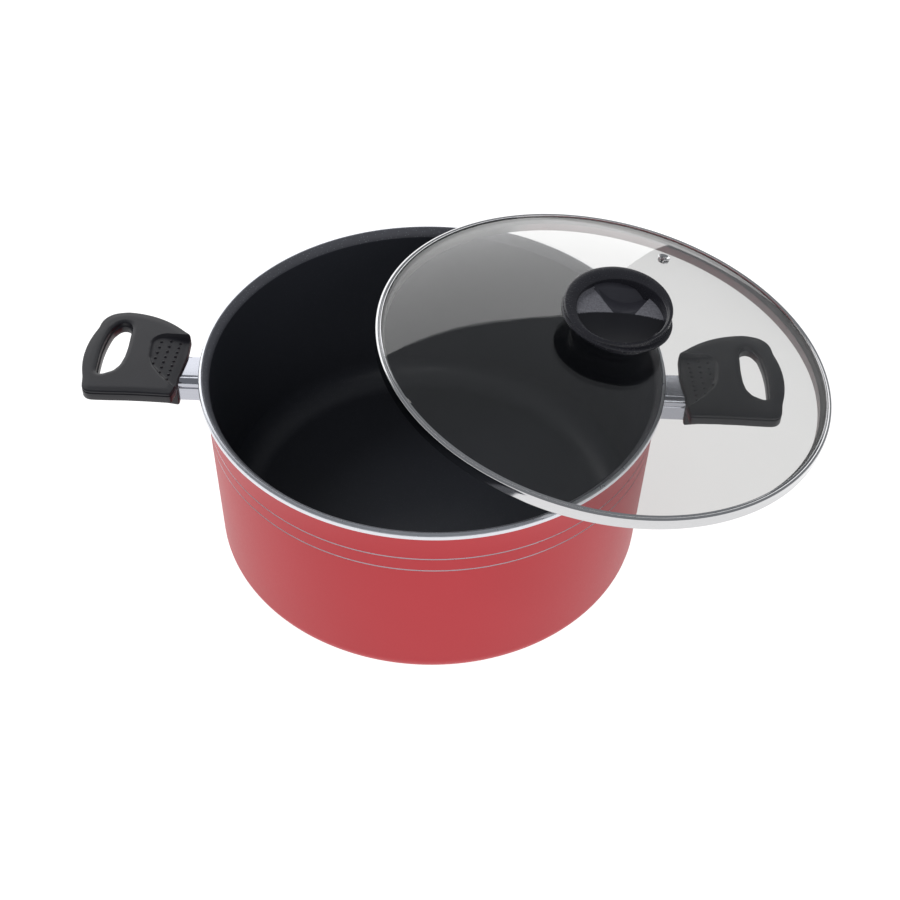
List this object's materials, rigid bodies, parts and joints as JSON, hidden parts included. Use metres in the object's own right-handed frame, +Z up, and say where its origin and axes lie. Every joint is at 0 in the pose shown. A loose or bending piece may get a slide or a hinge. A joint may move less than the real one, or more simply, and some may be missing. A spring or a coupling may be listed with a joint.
{
  "type": "stock pot",
  "caption": "Round coated aluminium stock pot with two side handles, steel flame guards and a domed glass lid with a steel band, lying ajar on the rim.",
  "frame": {"origin": "centre of the pot's base, on the surface that it stands on", "axes": "+Z up along the pot's axis; +X towards the right handle, the way the ajar lid is shifted; the front is -Y"},
  "size_m": [0.4675, 0.299, 0.1792],
  "materials": {
    "coated_aluminium": "satin red enamel outside, matte black non-stick inside, bare machined rim and base",
    "bare_aluminium": "machined",
    "polished_steel": "polished stainless",
    "fastener_steel": "zinc plated",
    "phenolic": "satin black phenolic resin",
    "tempered_glass": "clear, slightly smoked",
    "silicone": "matte black",
    "insert_brass": "turned"
  },
  "bodies": {
    "pot": {"pot_body": "coated_aluminium", "left_stud": "bare_aluminium", "left_flame_guard": "polished_steel", "left_handle": "phenolic", "left_handle_screw": "fastener_steel", "left_lock_washer": "fastener_steel", "right_stud": "bare_aluminium", "right_flame_guard": "polished_steel", "right_handle": "phenolic", "right_handle_screw": "fastener_steel", "right_lock_washer": "fastener_steel"},
    "lid": {"lid_glass": "tempered_glass", "lid_band": "polished_steel", "vent_eyelet": "polished_steel", "eyelet_washer": "polished_steel", "upper_gasket": "silicone", "lower_gasket": "silicone", "cup_washer": "polished_steel", "knob_screw": "fastener_steel"},
    "knob": {"knob": "phenolic", "knob_insert": "insert_brass"}
  },
  "joints": [
    {"name": "lid_lift", "type": "slide", "parent": "pot", "child": "lid", "axis": [0, 0, 1], "range_m": [0, 0.15]},
    {"name": "knob_turn", "type": "hinge", "parent": "lid", "child": "knob", "pos_m": [0.10982, 0.01145, 0.1577], "axis": [0.1409, 0.0223, 0.9898], "continuous": true}
  ]
}
